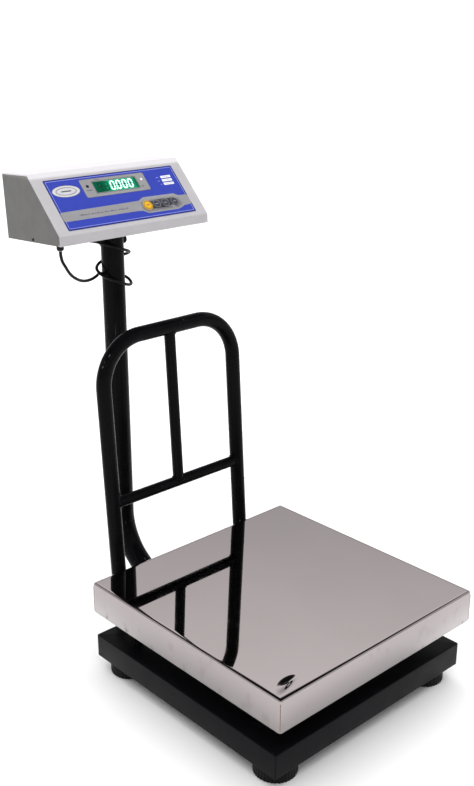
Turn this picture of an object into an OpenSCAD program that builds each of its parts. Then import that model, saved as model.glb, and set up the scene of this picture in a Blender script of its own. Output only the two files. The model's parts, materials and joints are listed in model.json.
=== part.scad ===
// Electronic platform scale for small animals.
// Millimetres. +X to the user's right, -Y towards the user, +Z up, ground at Z = 0.

/* [Pan] */
// Width and depth of the square weighing pan
pan_w = 400; // [396:1:404]
// Height of the folded skirt
pan_skirt = 50; // [46:1:54]
// Height of the pan's top above the ground
pan_top = 153.5; // [153.5:0.5:156]
// Sheet thickness of the pan
pan_sheet = 1.2; // [0.8:0.1:1.5]
// Outer radius of the pan's upright corners
pan_corner_r = 4; // [2:1:8]

/* [Base frame] */
// Outer width and depth of the base frame
base_w = 390; // [388:1:392]
// Width of the base tubes
tube_w = 50; // [48:1:54]
// Height of the base tubes
tube_h = 38; // [36:1:38]
// Underside of the base frame above the ground
base_z = 22; // [22:1:24]
// Base frame centre behind the pan centre
base_off = 7; // [5:1:8]
// Wall of the base tubes
tube_t = 1.5; // [1:0.5:2]

/* [Levelling feet] */
// Radius of a foot pad
foot_r = 31; // [28:1:32]
// Height of a foot pad
foot_h = 20.5; // [18:0.5:21]
// Foot centre in from the frame's outer faces
foot_inset = 36; // [34:1:37]
// Flutes round a foot pad
foot_flutes = 36; // [24:1:40]

/* [Guard rail] */
// Distance between the two upright centre lines
rail_w = 259; // [250:1:262]
// Radius of the hoop tube
rail_r = 11.6; // [10:0.2:12]
// Radius of the cross rail and the centre bar
bar_r = 8.7; // [8:0.1:10]
// Centre bar's distance to the right of the middle
bar_x = 1.3; // [0:0.1:2]
// Centre-line radius of the hoop's bends
rail_bend = 72; // [60:1:90]
// Height of the hoop's top centre line above the ground
rail_top = 502.5; // [484:0.5:524]
// Height of the cross rail's centre line above the ground
cross_z = 248; // [234:0.5:264]
// Hoop centre line behind the pan centre, at the height of the pan's top
rail_y = 230; // [228:1:234]
// Backward lean of the hoop in degrees
rail_lean = 3.4; // [3:0.1:4]

/* [Column] */
// Outer radius of the column tube
col_r = 18.4; // [18:0.1:18.6]
// Column axis behind the pan centre
col_y = 388; // [386:1:390]
// Centre-line radius of the column's bend
col_bend = 100; // [90:1:105]
// Height of the tilt pivot above the ground
pivot_z = 615.5; // [609:0.5:624]

/* [Indicator] */
// Width of the indicator housing
head_w = 285; // [280:1:290]
// Backward tilt of the indicator at rest, in degrees
head_tilt = 3; // [0:0.5:4]
// Slope of the indicator's face in degrees
face_a = 49; // [48:0.5:50]
// Width of the membrane panel
overlay_w = 246; // [240:1:250]
// Height of the membrane panel along the slope
overlay_h = 91; // [90:1:92]
// Radius of a key
key_r = 7.5; // [7:0.1:7.6]

/* [Hidden] */
$fn = 48;
eps = 0.01;
// the whole part is moved so that its box is centred on the origin
shift_y = -135.5;
base_corner_r = 2;
base_top = base_z + tube_h;
base_h2 = base_w / 2;
front_y = base_off - base_h2;
rear_y = base_off + base_h2;
foot_c = base_h2 - foot_inset;
stem_r = 5;
stem_fit = 0.05;
// weighing mechanism, from the beam up to the pan
beam_y0 = -85;
beam_y1 = -25;
beam_z0 = base_z + 4;
beam_z1 = base_z + 34;
cell_z0 = beam_z1 + 8;
cell_h = 40;
cell_z1 = cell_z0 + cell_h;
cell_l = 150;
cell_w = 30;
plate_z0 = cell_z1 + 8;
plate_t = 6;
arm_z0 = plate_z0 + plate_t;
arm_s = 25;
arm_z1 = arm_z0 + arm_s;
arm_x = 165;
arm_l = 360;
cross_y = 95;
stop_gap = 1.2;
stop_y = 131;
bumper_r = 12.5;
// guard rail in its own leaning frame, z along the uprights
rail_z0 = base_z + 2;
rail_len = (rail_top - rail_z0) / cos(rail_lean);
cross_len = (cross_z - rail_z0) / cos(rail_lean);
rail_foot_y = rail_y - (pan_top - rail_z0) * tan(rail_lean);
rail_x = rail_w / 2;
rail_wall = 1.5;
bracket_t = 4;
bracket_w = 46;
// column
col_wall = 1.5;
col_z = base_z + tube_h / 2;
col_top = pivot_z + 8;
flange_t = 5;
flange_h = 50;
pivot_r = 3;
grommet_z = pivot_z - 5.5;
// indicator profile, measured from the tilt pivot
head_y0 = -70;
head_y1 = 74.5;
head_z0 = 17;
fold_z = 31.5;
head_z1 = 116.5;
sheet = 2;
cover_t = 1.5;
face_y1 = head_y0 + (head_z1 - fold_z) / tan(face_a);
in_fold_z = fold_z + sheet * tan(face_a) - sheet / cos(face_a);
in_face_y1 = head_y0 + (head_z1 - sheet - fold_z + sheet / cos(face_a)) / tan(face_a);
flange_y = -64;
// panel on the face: x across, y up the slope, z out of the face
panel_y0 = 7.4;
panel_t = 0.5;
window_x = 0.5;
window_y = 75.6;
window_w = 84;
window_h = 22;
key_y = 31;
key_xs = [37.5, 55, 72.5, 91];
key_gap = 0.3;
// rear panel fittings
inlet_x = 84;
switch_x = 42;
fuse_x = 121;
rear_z = 62;
rocker_r = 8;
rocker_a = 8;
// signal cable
cable_r = 2.4;
gland_x = -136;
gland_y = -58;
gland_len = 7.7;
cable_path = [
    [-136, 330.5, 627.1], [-136, 330.2, 621], [-133.2, 331.5, 612], [-126, 335, 602], [-112, 343, 586.5],
    [-95, 351, 575], [-77, 360, 568], [-56, 372, 564.5], [-34, 387, 564], [-22.2, 399.4, 562.5],
    [-8.3, 409.4, 560.5], [8.3, 409.4, 558.5], [20.8, 400.5, 556.5], [29.5, 390, 550.5], [28.6, 379, 544],
    [15.5, 369.6, 545], [-2, 365.5, 551.5], [-17.7, 371.3, 558.5], [-26.4, 383.6, 565.5],
    [-26.3, 396.4, 573], [-13.5, 406.8, 578.5], [4, 410.2, 582.5], [19.7, 401.6, 586],
    [28.4, 389.5, 590.5], [24.2, 375.8, 596.5], [8.8, 366.4, 603], [-9.5, 366.6, 609.5],
    [-23.3, 375.8, 614.8], [-27, 389.5, 616.8], [-24.8, 402.5, 616], [-18.3, 412.5, 614],
    [-10, 417.6, 612], [-2.6, 417.2, 610.6], [0, 412.9, 610], [0, 408.3, 610]
];

// ---- placing ----

// moves the pan-centred drawing into the part's frame
module placed() {
    translate([0, shift_y, 0]) children();
}

// the guard rail's leaning frame
module at_rail() {
    translate([0, rail_foot_y, rail_z0]) rotate([-rail_lean, 0, 0]) children();
}

// the indicator's frame, with its origin on the tilt pivot
module at_head() {
    translate([0, col_y, pivot_z]) rotate([-head_tilt, 0, 0]) children();
}

// the sloped face: origin at the fold, y up the slope, z out of the face
module at_face() {
    at_head() translate([0, head_y0, fold_z]) rotate([face_a, 0, 0]) children();
}

// each of the four feet
module at_foot(x, y) {
    translate([x * foot_c, base_off + y * foot_c, 0]) children();
}

module at_feet() {
    for (x = [-1, 1]) for (y = [-1, 1]) at_foot(x, y) children();
}

// ---- shapes ----

// box centred in x and y, standing on z = 0
module slab(w, d, h) {
    translate([-w / 2, -d / 2, 0]) cube([w, d, h]);
}

// the same with rounded upright corners
module round_slab(w, d, h, r) {
    slab(w - 2 * r, d, h);
    slab(w, d - 2 * r, h);
    for (x = [-1, 1]) for (y = [-1, 1]) translate([x * (w / 2 - r), y * (d / 2 - r), 0]) cylinder(r = r, h = h);
}

// square tube along y, standing on z = 0
module square_tube_y(w, l, h, t) {
    difference() {
        slab(w, l, h);
        translate([0, 0, t]) slab(w - 2 * t, l + 2, h - 2 * t);
    }
}

// extrudes a profile drawn in y and z across the indicator's width
module across(w) {
    translate([-w / 2, 0, 0]) rotate([90, 0, 90]) linear_extrude(height = w) children();
}

// rod along x, centred
module rod_x(r, l) {
    translate([-l / 2, 0, 0]) rotate([0, 90, 0]) cylinder(r = r, h = l);
}

// rod along +y from the origin
module rod_y(r, l) {
    rotate([-90, 0, 0]) cylinder(r = r, h = l);
}

module hex_y(r, l) {
    rotate([-90, 0, 0]) cylinder(r = r, h = l, $fn = 6);
}

// ---- base frame ----

stop_spots = [for (x = [-1, 1]) for (y = [-1, 1]) [x * arm_x, base_off + y * stop_y]];
flange_spots = [for (x = [-1, 1]) for (z = [-1, 1]) [x * 31, col_z + z * 11]];
bracket_spots = [for (x = [-1, 1]) for (s = [-1, 1]) [x * rail_x + s * 16.5, col_z]];

// the four tubes as one hollow ring, with every hole drilled in it
module frame_ring() {
    inner = base_w - 2 * tube_w;
    difference() {
        translate([0, base_off, base_z]) difference() {
            round_slab(base_w, base_w, tube_h, base_corner_r);
            translate([0, 0, -1]) slab(inner, inner, tube_h + 2);
            translate([0, 0, tube_t]) difference() {
                slab(base_w - 2 * tube_t, base_w - 2 * tube_t, tube_h - 2 * tube_t);
                translate([0, 0, -1]) slab(inner + 2 * tube_t, inner + 2 * tube_t, tube_h);
            }
        }
        at_feet() translate([0, 0, base_z - 1]) cylinder(r = stem_r + 0.6, h = 4);
        for (s = stop_spots) translate([s[0], s[1], base_top - 4]) cylinder(r = 4.2, h = 6);
        for (s = flange_spots) translate([s[0], rear_y - 4, s[1]]) rod_y(4.2, 6);
        for (s = bracket_spots) translate([s[0], rear_y - 4, s[1]]) rod_y(3.2, 6);
    }
}

// one side of the ring, cut on the mitres; turn 0 is the front tube
module frame_side(turn) {
    m = base_h2 + 1;
    intersection() {
        frame_ring();
        translate([0, base_off, 0]) rotate([0, 0, turn]) linear_extrude(height = base_top + 1)
            polygon([[-m, -m], [m, -m], [0, 0]]);
    }
}

module base_tube_front() {
    color([0.03, 0.03, 0.03]) placed() frame_side(0);
}

module base_tube_right() {
    color([0.03, 0.03, 0.03]) placed() frame_side(90);
}

module base_tube_rear() {
    color([0.03, 0.03, 0.03]) placed() frame_side(180);
}

module base_tube_left() {
    color([0.03, 0.03, 0.03]) placed() frame_side(270);
}

module load_beam() {
    depth = beam_y1 - beam_y0;
    color([0.03, 0.03, 0.03]) placed() difference() {
        translate([0, (beam_y0 + beam_y1) / 2, beam_z0]) rotate([0, 0, 90])
            square_tube_y(depth, base_w - 2 * tube_w, beam_z1 - beam_z0, 2);
        for (y = [-65, -45]) translate([0, y, beam_z0 - 1]) cylinder(r = 4.2, h = beam_z1 - beam_z0 + 2);
    }
}

module foot_inserts() {
    color([0.6, 0.6, 0.58]) placed() at_feet() translate([0, 0, base_z + tube_t]) difference() {
        cylinder(r = 9, h = 14);
        translate([0, 0, -1]) cylinder(r = stem_r + stem_fit, h = 16);
    }
}

module overload_stops() {
    top = arm_z0 - stop_gap;
    color([0.6, 0.6, 0.6]) placed() for (s = stop_spots) translate([s[0], s[1], 0]) {
        translate([0, 0, base_top - 12]) cylinder(r = 4, h = top - base_top + 8);
        translate([0, 0, top - 5.3]) cylinder(r = 7.5, h = 5.3, $fn = 6);
        translate([0, 0, base_top]) cylinder(r = 7.5, h = 6.5, $fn = 6);
    }
}

// ---- load cell ----

// block with two bolt holes, between the cell and the steel above or below it
module cell_spacer(y, z) {
    translate([0, y, z]) difference() {
        slab(cell_w, 40, 8);
        for (s = [-10, 10]) translate([0, s, -1]) cylinder(r = 4.2, h = 10);
    }
}

module cell_spacer_lower() {
    color([0.55, 0.55, 0.55]) placed() cell_spacer(-55, beam_z1);
}

module cell_spacer_upper() {
    color([0.55, 0.55, 0.55]) placed() cell_spacer(55, cell_z1);
}

module cell_bolts_lower() {
    color([0.5, 0.5, 0.5]) placed() for (y = [-65, -45]) translate([0, y, beam_z0]) {
        translate([0, 0, -5.3]) cylinder(r = 7.5, h = 5.3, $fn = 6);
        translate([0, 0, -eps]) cylinder(r = 4, h = cell_z0 + 22 - beam_z0);
    }
}

module cell_bolts_upper() {
    color([0.5, 0.5, 0.5]) placed() for (y = [45, 65]) translate([0, y, arm_z0]) {
        cylinder(r = 7.5, h = 5.3, $fn = 6);
        translate([0, 0, cell_z1 - 22 - arm_z0]) cylinder(r = 4, h = arm_z0 - cell_z1 + 22 + eps);
    }
}

// bending beam with the joined pair of bores that makes it flex
module load_cell() {
    mid = cell_z0 + cell_h / 2;
    color([0.75, 0.75, 0.76]) placed() difference() {
        translate([0, 0, cell_z0]) slab(cell_w, cell_l, cell_h);
        for (y = [-17, 17]) translate([0, y, mid]) rod_x(13, cell_w + 2);
        translate([0, 0, mid - 4]) slab(cell_w + 2, 34, 8);
        for (y = [-65, -45]) translate([0, y, cell_z0 - 1]) cylinder(r = 4.1, h = 24);
        for (y = [45, 65]) translate([0, y, cell_z1 - 23]) cylinder(r = 4.1, h = 24);
    }
}

// ---- guard rail ----

// the bent hoop as a solid of the given radius; low is where its legs begin
module hoop_solid(r, low) {
    straight = rail_len - rail_bend;
    for (x = [-1, 1]) {
        translate([x * rail_x, 0, low]) cylinder(r = r, h = straight - low);
        translate([x * (rail_x - rail_bend), 0, straight]) rotate([90, 0, 0]) rotate([0, 0, x > 0 ? 0 : 90])
            rotate_extrude(angle = 90) translate([rail_bend, 0]) circle(r = r);
    }
    translate([0, 0, rail_len]) rod_x(r, rail_w - 2 * rail_bend);
}

module guard_hoop() {
    color([0.02, 0.02, 0.02]) placed() at_rail() difference() {
        hoop_solid(rail_r, 0);
        hoop_solid(rail_r - rail_wall, -1);
    }
}

module guard_cross_rail() {
    color([0.02, 0.02, 0.02]) placed() at_rail() difference() {
        translate([0, 0, cross_len]) difference() {
            rod_x(bar_r, rail_w);
            rod_x(bar_r - rail_wall, rail_w + 2);
        }
        for (x = [-1, 1]) translate([x * rail_x, 0, cross_len - 20]) cylinder(r = rail_r, h = 40);
    }
}

module guard_centre_bar() {
    color([0.02, 0.02, 0.02]) placed() at_rail() difference() {
        translate([bar_x, 0, cross_len]) cylinder(r = bar_r, h = rail_len - cross_len);
        translate([bar_x, 0, cross_len - 1]) cylinder(r = bar_r - rail_wall, h = rail_len - cross_len + 2);
        translate([0, 0, cross_len]) rod_x(bar_r, 60);
        translate([0, 0, rail_len]) rod_x(rail_r, 60);
    }
}

module guard_end_plugs() {
    color([0.02, 0.02, 0.02]) placed() at_rail() for (x = [-1, 1]) translate([x * rail_x, 0, 0]) {
        translate([0, 0, -1.5]) cylinder(r = rail_r, h = 1.5);
        translate([0, 0, -eps]) cylinder(r = rail_r - rail_wall, h = 12);
    }
}

// plate on the base's rear face with a saddle that the leg is welded into
module guard_brackets() {
    low = base_z + 2;
    tall = tube_h - 4;
    color([0.03, 0.03, 0.03]) placed() difference() {
        for (x = [-1, 1]) translate([x * rail_x, rear_y, low]) {
            translate([-bracket_w / 2, 0, 0]) cube([bracket_w, bracket_t, tall]);
            translate([-8, bracket_t - eps, 3]) cube([16, rail_foot_y - rear_y - bracket_t, tall - 6]);
        }
        at_rail() for (x = [-1, 1]) translate([x * rail_x, 0, -10]) cylinder(r = rail_r, h = 80);
        for (s = bracket_spots) translate([s[0], rear_y - 1, s[1]]) rod_y(3.2, bracket_t + 2);
    }
}

module guard_bracket_screws() {
    color([0.5, 0.5, 0.5]) placed() for (s = bracket_spots) translate([s[0], rear_y - 10, s[1]]) {
        rod_y(3, 10 + bracket_t + eps);
        translate([0, 10 + bracket_t, 0]) hex_y(5.6, 4);
    }
}

// ---- column ----

// the bent column as a solid of the given radius, from the flange up to the top
module column_solid(r, past) {
    translate([0, rear_y - past, col_z]) rod_y(r, col_y - col_bend - rear_y + past);
    translate([0, col_y - col_bend, col_z + col_bend]) rotate([90, 0, 90]) rotate([0, 0, -90])
        rotate_extrude(angle = 90) translate([col_bend, 0]) circle(r = r);
    translate([0, col_y, col_z + col_bend]) cylinder(r = r, h = col_top - col_z - col_bend + past);
}

module column_tube() {
    color([0.02, 0.02, 0.02]) placed() difference() {
        column_solid(col_r, 0);
        column_solid(col_r - col_wall, 1);
        translate([0, col_y, pivot_z]) rod_x(pivot_r + 0.05, 3 * col_r);
        translate([0, col_y, grommet_z]) rod_y(5, 2 * col_r);
    }
}

module column_cap() {
    color([0.03, 0.03, 0.03]) placed() translate([0, col_y, col_top - 3]) cylinder(r = col_r - col_wall, h = 3);
}

// plate welded round the column's foot and bolted to the base
module column_flange() {
    color([0.03, 0.03, 0.03]) placed() translate([0, rear_y, col_z]) difference() {
        translate([-42, 0, -flange_h / 2]) cube([84, flange_t, flange_h]);
        translate([0, -1, 0]) rod_y(col_r, flange_t + 2);
        for (s = flange_spots) translate([s[0], -1, s[1] - col_z]) rod_y(4.2, flange_t + 2);
    }
}

module column_flange_bolts() {
    color([0.5, 0.5, 0.5]) placed() for (s = flange_spots) translate([s[0], rear_y - 10, s[1]]) {
        rod_y(4, 10 + flange_t + eps);
        translate([0, 10 + flange_t, 0]) hex_y(5.9, 5.3);
    }
}

// rubber bush where the signal cable enters the column
module cable_grommet() {
    face = 408.2 - col_y;
    color([0.03, 0.03, 0.03]) placed() translate([0, col_y, grommet_z]) {
        difference() {
            translate([0, col_r - 4, 0]) rod_y(7, face - col_r + 4);
            translate([0, 0, -20]) cylinder(r = col_r, h = 40);
        }
        translate([0, col_r - 3, 0]) rod_y(5, 4);
    }
}

// ---- signal cable ----

cable_steps = 2;
cable_sides = 10;

function unit(v) = v / norm(v);
function pick(i) = cable_path[max(0, min(len(cable_path) - 1, i))];
// smooth curve through the route's points
function curve(i, t) =
    let (a = pick(i - 1), b = pick(i), c = pick(i + 1), d = pick(i + 2))
    0.5 * (2 * b + (c - a) * t + (2 * a - 5 * b + 4 * c - d) * t * t + (3 * b - a - 3 * c + d) * t * t * t);
cable_pts = concat(
    [for (i = [0 : len(cable_path) - 2]) for (k = [0 : cable_steps - 1]) curve(i, k / cable_steps)],
    [cable_path[len(cable_path) - 1]]
);
cable_n = len(cable_pts);
cable_dirs = [for (i = [0 : cable_n - 1]) unit(cable_pts[min(i + 1, cable_n - 1)] - cable_pts[max(i - 1, 0)])];
// a side direction carried along the cable without twisting
function squared(v, t) = unit(v - (v * t) * t);
cable_sides_dirs = [
    for (i = 0, v = squared([1, 0, 0], cable_dirs[0]); i < cable_n;
        i = i + 1, v = i < cable_n ? squared(v, cable_dirs[i]) : v) v
];

module signal_cable() {
    m = cable_sides;
    rings = [
        for (i = [0 : cable_n - 1]) for (k = [0 : m - 1])
            let (u = cable_sides_dirs[i], w = cross(cable_dirs[i], u), a = 360 * k / m)
            cable_pts[i] + cable_r * (cos(a) * u + sin(a) * w)
    ];
    walls = [
        for (i = [0 : cable_n - 2]) for (k = [0 : m - 1])
            let (a = i * m + k, b = i * m + (k + 1) % m)
            [a, a + m, b + m, b]
    ];
    near = [[for (k = [0 : m - 1]) k]];
    far = [[for (k = [0 : m - 1]) (cable_n - 1) * m + m - 1 - k]];
    color([0.02, 0.02, 0.02]) placed() polyhedron(points = rings, faces = concat(walls, near, far), convexity = 10);
}

// ---- feet ----

module foot_stem(x, y) {
    color([0.6, 0.6, 0.6]) placed() at_foot(x, y) translate([0, 0, 6]) cylinder(r = stem_r, h = base_z + 18);
}

// fluted pad that turns on the stem
module foot_pad(x, y) {
    color([0.03, 0.03, 0.03]) placed() at_foot(x, y) difference() {
        union() {
            cylinder(r1 = foot_r - 0.6, r2 = foot_r, h = 0.6);
            translate([0, 0, 0.6]) cylinder(r = foot_r, h = foot_h - 0.6);
        }
        for (k = [0 : foot_flutes - 1]) rotate([0, 0, 360 * k / foot_flutes])
            translate([foot_r + 0.7, 0, -1]) cylinder(r = 1.9, h = foot_h + 2);
        translate([0, 0, 5.7]) cylinder(r = stem_r + stem_fit, h = foot_h);
    }
}

module foot_stem_fl() { foot_stem(-1, -1); }
module foot_stem_fr() { foot_stem(1, -1); }
module foot_stem_rl() { foot_stem(-1, 1); }
module foot_stem_rr() { foot_stem(1, 1); }
module foot_pad_fl() { foot_pad(-1, -1); }
module foot_pad_fr() { foot_pad(1, -1); }
module foot_pad_rl() { foot_pad(-1, 1); }
module foot_pad_rr() { foot_pad(1, 1); }

// ---- weighing frame and pan ----

module weigh_arm(x) {
    color([0.03, 0.03, 0.03]) placed() translate([x * arm_x, 0, arm_z0]) square_tube_y(arm_s, arm_l, arm_s, 1.5);
}

module weigh_arm_left() { weigh_arm(-1); }
module weigh_arm_right() { weigh_arm(1); }

module weigh_cross(y) {
    color([0.03, 0.03, 0.03]) placed() translate([0, y * cross_y, arm_z0]) rotate([0, 0, 90])
        square_tube_y(arm_s, 2 * arm_x - arm_s, arm_s, 1.5);
}

module weigh_cross_front() { weigh_cross(-1); }
module weigh_cross_rear() { weigh_cross(1); }

module weigh_plate() {
    color([0.03, 0.03, 0.03]) placed() translate([0, 0, plate_z0]) difference() {
        slab(120, 2 * cross_y + arm_s, plate_t);
        for (y = [45, 65]) translate([0, y, -1]) cylinder(r = 4.2, h = plate_t + 2);
    }
}

module pan_bumpers() {
    color([0.03, 0.03, 0.03]) placed() for (x = [-1, 1]) for (y = [-1, 1])
        translate([x * arm_x, y * arm_x, arm_z1]) cylinder(r = bumper_r, h = pan_top - pan_sheet - arm_z1);
}

module pan() {
    color([0.75, 0.74, 0.73]) placed() translate([0, 0, pan_top - pan_skirt]) difference() {
        round_slab(pan_w, pan_w, pan_skirt, pan_corner_r);
        translate([0, 0, -pan_sheet])
            round_slab(pan_w - 2 * pan_sheet, pan_w - 2 * pan_sheet, pan_skirt, pan_corner_r - pan_sheet);
    }
}

// ---- indicator ----

bracket_leg = 3;
leg_gap = 0.25;
leg_x = col_r + leg_gap;

// U bracket over the column's top, its legs rounded about the pivot
module tilt_bracket() {
    width = 2 * (leg_x + bracket_leg);
    web_z = head_z0 - bracket_leg;
    color([0.03, 0.03, 0.03]) placed() at_head() difference() {
        union() {
            translate([0, 0, web_z]) slab(width, 52, bracket_leg);
            for (x = [-1, 1]) translate([x * (leg_x + bracket_leg / 2), 0, 0]) {
                rod_x(6, bracket_leg);
                slab(bracket_leg, 12, web_z + eps);
            }
        }
        rod_x(pivot_r, width + 2);
        for (x = [-12, 12]) for (y = [-21, 21]) translate([x, y, web_z - 1]) cylinder(r = 2.2, h = 5);
    }
}

module bracket_screws() {
    color([0.5, 0.5, 0.5]) placed() at_head() for (x = [-12, 12]) for (y = [-21, 21])
        translate([x, y, head_z0 - bracket_leg]) {
            translate([0, 0, -2.4]) cylinder(r = 3.5, h = 2.4);
            translate([0, 0, -eps]) cylinder(r = 2, h = 9);
        }
}

// bolt through the bracket and the column: its head is on the right, its thread in the left leg
module pivot_bolt() {
    reach = leg_x + bracket_leg;
    color([0.1, 0.1, 0.1]) placed() at_head() {
        translate([-reach, 0, 0]) rotate([0, 90, 0]) cylinder(r = pivot_r, h = 2 * reach + eps);
        translate([reach, 0, 0]) rotate([0, 90, 0]) cylinder(r1 = 6.5, r2 = 4.5, h = 4.2);
    }
}

// outer sheet: lip, sloped face and top in one folded strip
module head_front() {
    color([0.7, 0.69, 0.71]) placed() difference() {
        at_head() across(head_w) polygon([
            [flange_y, head_z0], [head_y0, head_z0], [head_y0, fold_z], [face_y1, head_z1], [head_y1, head_z1],
            [head_y1, head_z1 - sheet], [in_face_y1, head_z1 - sheet], [head_y0 + sheet, in_fold_z],
            [head_y0 + sheet, head_z0 + sheet], [flange_y, head_z0 + sheet]
        ]);
        at_face() {
            translate([window_x, window_y, -5]) slab(window_w + 2, window_h + 2, 8);
            for (x = key_xs) translate([x, key_y, -5]) cylinder(r = key_r + key_gap, h = 8);
        }
    }
}

// bottom, sides and rear wall
module head_cover() {
    gap = 0.2;
    back_in = head_y1 - cover_t;
    color([0.18, 0.18, 0.17]) placed() at_head() difference() {
        across(head_w) polygon([
            [flange_y + gap, head_z0], [flange_y + gap, head_z0 + sheet + gap],
            [head_y0 + sheet + gap, head_z0 + sheet + gap], [head_y0 + sheet + gap, in_fold_z - gap],
            [in_face_y1, head_z1 - sheet - gap], [head_y1, head_z1 - sheet - gap], [head_y1, head_z0]
        ]);
        across(head_w - 2 * cover_t) polygon([
            [head_y0, head_z0 + cover_t], [back_in, head_z0 + cover_t], [back_in, head_z1 + 5], [head_y0, head_z1 + 5]
        ]);
        translate([gland_x, gland_y, head_z0 - 1]) cylinder(r = 4, h = 4);
        for (x = [-12, 12]) for (y = [-21, 21]) translate([x, y, head_z0 - 1]) cylinder(r = 2, h = 4);
        translate([0, 3.5, 21]) rod_x(1.6, head_w + 2);
        translate([inlet_x - 13.5, back_in - 1, rear_z - 10]) cube([27, 4, 20]);
        translate([switch_x - 7.5, back_in - 1, rear_z - 10.5]) cube([15, 4, 21]);
        translate([fuse_x, back_in - 1, rear_z]) rod_y(6, 4);
    }
}

module case_screws() {
    color([0.04, 0.04, 0.04]) placed() at_head() for (x = [-1, 1])
        translate([x * head_w / 2, 3.5, 21]) rotate([0, x * 90, 0]) {
            cylinder(r1 = 2.3, r2 = 1.8, h = 1.2);
            translate([0, 0, -8]) cylinder(r = 1.6, h = 8 + eps);
        }
}

module overlay() {
    color([0.1, 0.12, 0.6]) placed() at_face() difference() {
        translate([0, panel_y0 + overlay_h / 2, 0]) round_slab(overlay_w, overlay_h, panel_t, 2);
        translate([window_x, window_y, -1]) slab(window_w, window_h, 3);
        for (x = key_xs) translate([x, key_y, -1]) cylinder(r = key_r + key_gap, h = 3);
    }
}

module display_window() {
    color([0.1, 0.4, 0.25, 0.4]) placed() at_face() translate([window_x, window_y, -sheet])
        slab(window_w - 0.4, window_h - 0.4, sheet + panel_t);
}

module display_module() {
    color([0.02, 0.25, 0.15]) placed() at_face() translate([window_x, window_y, -12]) slab(98, 36, 9);
}

// one round key, held from behind by a thin rim
module key(n) {
    color(n == 0 ? [0.8, 0.6, 0.05] : [0.12, 0.12, 0.13]) placed() at_face() translate([key_xs[n], key_y, -3]) {
        cylinder(r = key_r, h = 4.3);
        cylinder(r = key_r + 1.1, h = 0.7);
    }
}

module key_power() { key(0); }
module key_unit() { key(1); }
module key_hold() { key(2); }
module key_zero() { key(3); }

module keypad_board() {
    color([0.05, 0.2, 0.08]) placed() at_face() {
        translate([(key_xs[0] + key_xs[3]) / 2, key_y, -7.2]) slab(84, 26, 1.6);
        for (x = key_xs) translate([x, key_y, -5.6 - eps]) cylinder(r = 3, h = 1.8);
    }
}

// circuit board on four posts with the mains transformer
module main_board() {
    color([0.05, 0.2, 0.08]) placed() at_head() {
        translate([62, 34, 28]) slab(120, 66, 1.6);
        for (x = [8, 116]) for (y = [6, 62]) translate([x, y, head_z0 + cover_t])
            cylinder(r = 3, h = 28 - head_z0 - cover_t + eps);
        translate([36, 26, 29.6 - eps]) slab(44, 32, 34);
    }
}

module battery() {
    color([0.06, 0.06, 0.07]) placed() at_head() translate([-75, 38, head_z0 + cover_t]) slab(101, 47, 70);
}

// cable gland with its nut inside the case
module cable_gland() {
    color([0.03, 0.03, 0.03]) placed() at_head() translate([gland_x, gland_y, head_z0]) {
        translate([0, 0, -6.5]) cylinder(r1 = 4.6, r2 = 5.4, h = 2);
        translate([0, 0, -4.5 - eps]) cylinder(r = 5.4, h = 4.5 + eps);
        translate([0, 0, -gland_len]) cylinder(r = 3.4, h = gland_len - 6.5 + eps);
        translate([0, 0, -eps]) cylinder(r = 4, h = 8);
        translate([0, 0, cover_t]) cylinder(r = 4.8, h = 4);
    }
}

// three-pin mains socket
module power_inlet() {
    color([0.03, 0.03, 0.03]) placed() at_head() translate([inlet_x, head_y1, rear_z]) {
        difference() {
            union() {
                translate([-25, 0, -11.5]) cube([50, 2.5, 23]);
                translate([-13.5, -21, -10]) cube([27, 21 + eps, 20]);
            }
            translate([-12, -16, -8]) cube([24, 20, 16]);
        }
        for (p = [[-7, -2], [0, 3], [7, -2]]) translate([p[0] - 1, -16 - eps, p[1] - 2]) cube([2, 14, 4]);
    }
}

module fuse_holder() {
    color([0.03, 0.03, 0.03]) placed() at_head() translate([fuse_x, head_y1, rear_z]) difference() {
        union() {
            rod_y(8, 2.5);
            translate([0, -28, 0]) rod_y(6, 28 + eps);
            translate([0, 2.5 - eps, 0]) rod_y(5.5, 2.5);
        }
        translate([-5, 3.8, -0.6]) cube([10, 2, 1.2]);
    }
}

// housing of the power switch, hollowed for the rocker
module switch_housing() {
    color([0.03, 0.03, 0.03]) placed() at_head() translate([switch_x, head_y1, rear_z]) difference() {
        union() {
            translate([-9.5, 0, -13]) cube([19, 2, 26]);
            translate([-7.5, -14, -10.5]) cube([15, 14 + eps, 21]);
        }
        translate([0, -2, 0]) rod_x(rocker_r + 0.35, 11.6);
    }
}

// rocker with a shallow V across it, resting on its pressed side
module power_rocker() {
    color([0.04, 0.04, 0.04]) placed() at_head() translate([switch_x, head_y1 - 2, rear_z])
        rotate([-rocker_a, 0, 0]) difference() {
            rod_x(rocker_r, 11);
            for (s = [-1, 1]) translate([0, 5.2, 0]) rotate([-s * 12, 0, 0]) translate([0, 5, s * 6])
                cube([14, 10, 12], center = true);
        }
}

base_tube_front();
base_tube_rear();
base_tube_left();
base_tube_right();
load_beam();
foot_inserts();
overload_stops();
cell_spacer_lower();
cell_bolts_lower();
load_cell();
guard_brackets();
guard_bracket_screws();
guard_hoop();
guard_cross_rail();
guard_centre_bar();
guard_end_plugs();
column_flange();
column_flange_bolts();
column_tube();
column_cap();
cable_grommet();
signal_cable();
foot_stem_fl();
foot_stem_fr();
foot_stem_rl();
foot_stem_rr();
foot_pad_fl();
foot_pad_fr();
foot_pad_rl();
foot_pad_rr();
weigh_arm_left();
weigh_arm_right();
weigh_cross_front();
weigh_cross_rear();
weigh_plate();
cell_spacer_upper();
cell_bolts_upper();
pan_bumpers();
pan();
tilt_bracket();
bracket_screws();
pivot_bolt();
head_front();
head_cover();
case_screws();
overlay();
display_window();
display_module();
keypad_board();
main_board();
battery();
cable_gland();
power_inlet();
fuse_holder();
switch_housing();
power_rocker();
key_power();
key_unit();
key_hold();
key_zero();
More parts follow.
